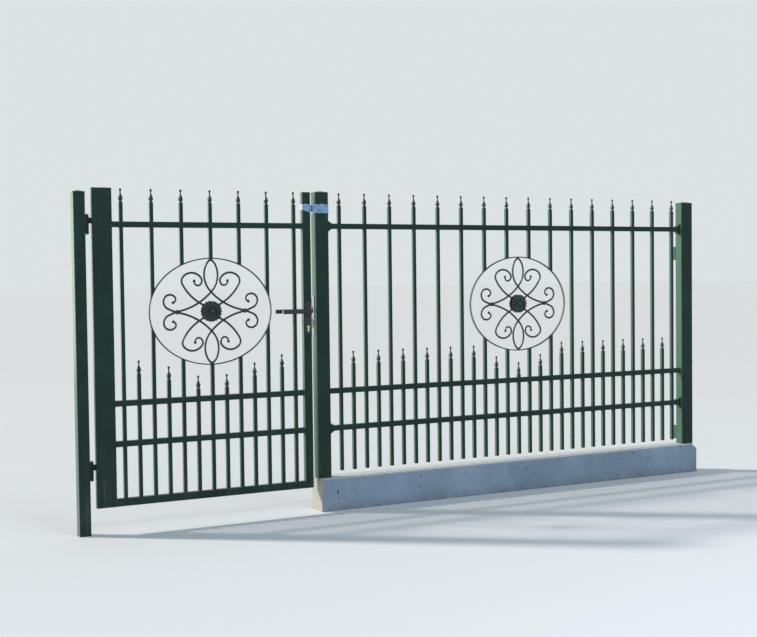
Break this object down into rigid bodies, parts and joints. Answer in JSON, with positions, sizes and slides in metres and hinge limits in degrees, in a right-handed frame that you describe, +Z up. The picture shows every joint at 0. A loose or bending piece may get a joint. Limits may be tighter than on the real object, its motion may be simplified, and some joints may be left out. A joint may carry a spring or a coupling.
{
  "type": "metal garden gate",
  "caption": "Painted metal garden gate: a hinged picket leaf with an oval scroll panel, its posts, and a matching fence bay on a concrete plinth.",
  "frame": {"origin": "on the flat underside of the plinth, below the middle of the latch post", "axes": "+X along the fence, to the right seen from the street; +Y from the street into the garden; +Z up"},
  "size_m": [4.0608, 0.14, 1.778],
  "materials": {
    "green_paint": "very dark green satin paint",
    "concrete": "cast concrete with small pits",
    "tape": "pale plastic tape",
    "lock_steel": "zinc plated steel",
    "cylinder_brass": "dulled brass",
    "lock_furniture": "dark painted metal, worn bright at the lever tip"
  },
  "bodies": {
    "posts_and_fence": {"plinth": "concrete", "hinge_post": "green_paint", "hinge_post_cap": "green_paint", "latch_post": "green_paint", "latch_post_cap": "green_paint", "end_post": "green_paint", "end_post_cap": "green_paint", "end_post_catch": "green_paint", "fence_lower_rail": "green_paint", "fence_middle_rail": "green_paint", "fence_top_rail": "green_paint", "rail_gussets": "green_paint", "fence_tall_pickets": "green_paint", "fence_short_pickets": "green_paint", "fence_finials": "green_paint", "fence_ring": "green_paint", "fence_scrolls": "green_paint", "fence_rosettes": "green_paint", "upper_hinge_pin": "green_paint", "lower_hinge_pin": "green_paint", "strike_plate": "lock_steel", "tape_on_post": "tape"},
    "leaf": {"hinge_stile": "green_paint", "latch_stile": "green_paint", "stile_caps": "green_paint", "leaf_bottom_rail": "green_paint", "leaf_lower_rail": "green_paint", "leaf_middle_rail": "green_paint", "leaf_top_rail": "green_paint", "leaf_tall_pickets": "green_paint", "leaf_short_pickets": "green_paint", "leaf_finials": "green_paint", "leaf_ring": "green_paint", "leaf_scrolls": "green_paint", "leaf_rosettes": "green_paint", "upper_hinge_socket": "green_paint", "lower_hinge_socket": "green_paint", "front_lock_plate": "lock_furniture", "back_lock_plate": "lock_furniture", "lock_cylinder": "cylinder_brass", "lock_faceplate": "lock_steel", "tape_on_stile": "tape"},
    "lever": {"front_lever": "lock_furniture", "back_lever": "lock_furniture", "spindle": "lock_steel"}
  },
  "joints": [
    {"name": "leaf_swing", "type": "hinge", "parent": "posts_and_fence", "child": "leaf", "pos_m": [-1.2958, 0.01, 0.324], "axis": [0, 0, 1], "range_deg": [0, 90]},
    {"name": "lever_turn", "type": "hinge", "parent": "leaf", "child": "lever", "pos_m": [-0.087, 0, 1.114], "axis": [0, -1, 0], "range_deg": [0, 40], "stiffness_Nm_per_rad": 1.2}
  ]
}
